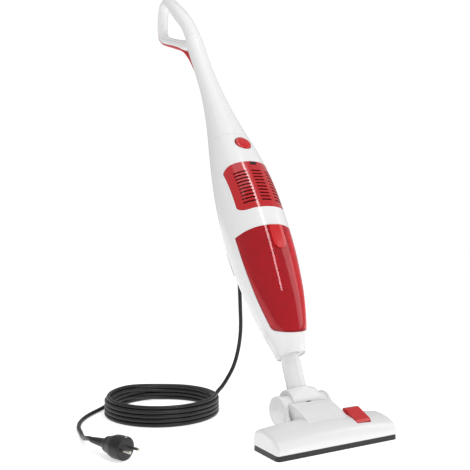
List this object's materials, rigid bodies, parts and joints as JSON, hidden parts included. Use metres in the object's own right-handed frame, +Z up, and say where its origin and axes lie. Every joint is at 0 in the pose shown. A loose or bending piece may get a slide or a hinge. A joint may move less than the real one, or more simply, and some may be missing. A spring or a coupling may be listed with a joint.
{
  "type": "upright stick vacuum cleaner",
  "caption": "Corded upright stick vacuum cleaner with a loop handle, clear dust cup, swivelling neck and low wide floor head, with its mains lead coiled beside it.",
  "frame": {"origin": "middle of the floor head's sole, on the floor", "axes": "+Z up, the floor head's front faces -Y, +X along the head's width; the stick leans back towards +Y"},
  "size_m": [0.491, 0.7574, 0.975],
  "materials": {
    "white_abs": "glossy",
    "red_abs": "glossy",
    "clear_red": "clear glossy",
    "dark_abs": "satin",
    "filter_foam": "open foam",
    "filter_paper": "paper",
    "steel": "satin",
    "copper": "lacquered",
    "aluminium": "satin",
    "rubber": "satin",
    "bristle": "fibres",
    "velour": "pile"
  },
  "bodies": {
    "housing": {"handle_shell": "white_abs", "handle_back": "white_abs", "handle_inlay": "red_abs", "front_shell": "white_abs", "rear_shell": "white_abs", "grille_cover": "clear_red", "exhaust_filter": "filter_foam", "button_guide": "dark_abs", "power_switch": "dark_abs", "motor_can": "steel", "motor_core": "copper", "motor_mounts": "rubber", "motor_bearings": "steel", "fan_shroud": "white_abs", "bulkhead": "white_abs", "wiring": "rubber", "housing_screws": "steel", "rear_vent": "dark_abs", "cord_gland": "rubber", "neck_collar": "white_abs", "cup_seat": "white_abs", "neck_seal": "rubber", "cord_tube": "rubber", "cord_coil": "rubber", "cord_lead": "rubber", "plug_relief": "rubber", "plug_body": "rubber", "plug_pins": "steel", "plug_earth": "steel"},
    "button": {"power_button": "red_abs"},
    "fan": {"impeller": "aluminium"},
    "cup": {"dust_cup": "clear_red", "cup_seal": "rubber", "filter_frame": "dark_abs", "mesh_screen": "steel", "pleated_filter": "filter_paper", "inlet_pipe": "dark_abs"},
    "latch": {"cup_latch": "red_abs"},
    "neck": {"neck_tube": "white_abs"},
    "yoke": {"swivel_yoke": "white_abs", "pivot_barrel": "white_abs"},
    "head": {"head_cover": "white_abs", "head_base": "white_abs", "bumper_strip": "rubber", "end_caps": "white_abs", "pivot_cheeks": "white_abs", "head_hose": "rubber", "lint_strips": "velour", "head_screws": "steel"},
    "pedal": {"pedal": "red_abs"},
    "brush": {"brush_strip": "bristle"},
    "wheels": {"rear_wheels": "rubber"},
    "rollers": {"front_rollers": "rubber"}
  },
  "joints": [
    {"name": "button_press", "type": "slide", "parent": "housing", "child": "button", "axis": [0, 0.7312, -0.6822], "range_m": [0, 0.003], "stiffness_N_per_m": 600, "springref_m": -0.002},
    {"name": "fan_spin", "type": "hinge", "parent": "housing", "child": "fan", "pos_m": [0, 0.2578, 0.4], "axis": [0, 0.5, 0.866], "continuous": true},
    {"name": "cup_lift", "type": "slide", "parent": "housing", "child": "cup", "axis": [0, -0.866, 0.5], "range_m": [0, 0.12]},
    {"name": "latch_press", "type": "hinge", "parent": "cup", "child": "latch", "pos_m": [0, 0.1627, 0.3776], "axis": [-1, 0, 0], "range_deg": [0, 14], "stiffness_Nm_per_rad": 0.2, "springref_deg": -5.73},
    {"name": "neck_pull", "type": "slide", "parent": "housing", "child": "neck", "axis": [0, -0.3907, -0.9205], "range_m": [0, 0.04]},
    {"name": "head_swivel", "type": "hinge", "parent": "neck", "child": "yoke", "pos_m": [0, 0.076, 0.045], "axis": [0, 0.3907, 0.9205], "range_deg": [-35, 35]},
    {"name": "head_tilt", "type": "hinge", "parent": "yoke", "child": "head", "pos_m": [0, 0.076, 0.045], "axis": [1, 0, 0], "range_deg": [-15, 55]},
    {"name": "pedal_press", "type": "hinge", "parent": "head", "child": "pedal", "pos_m": [0.061, -0.018, 0.0325], "axis": [-1, 0, 0], "range_deg": [0, 10]},
    {"name": "brush_drop", "type": "slide", "parent": "head", "child": "brush", "axis": [0, 0, -1], "range_m": [0, 0.005]},
    {"name": "wheels_spin", "type": "hinge", "parent": "head", "child": "wheels", "pos_m": [0, 0.024, 0.007], "axis": [1, 0, 0], "continuous": true},
    {"name": "rollers_spin", "type": "hinge", "parent": "head", "child": "rollers", "pos_m": [0, 0.004, 0.004], "axis": [1, 0, 0], "continuous": true}
  ],
  "couplings": [
    {"joint": "brush_drop", "follows": "pedal_press", "m_per_rad": 0.0286}
  ]
}
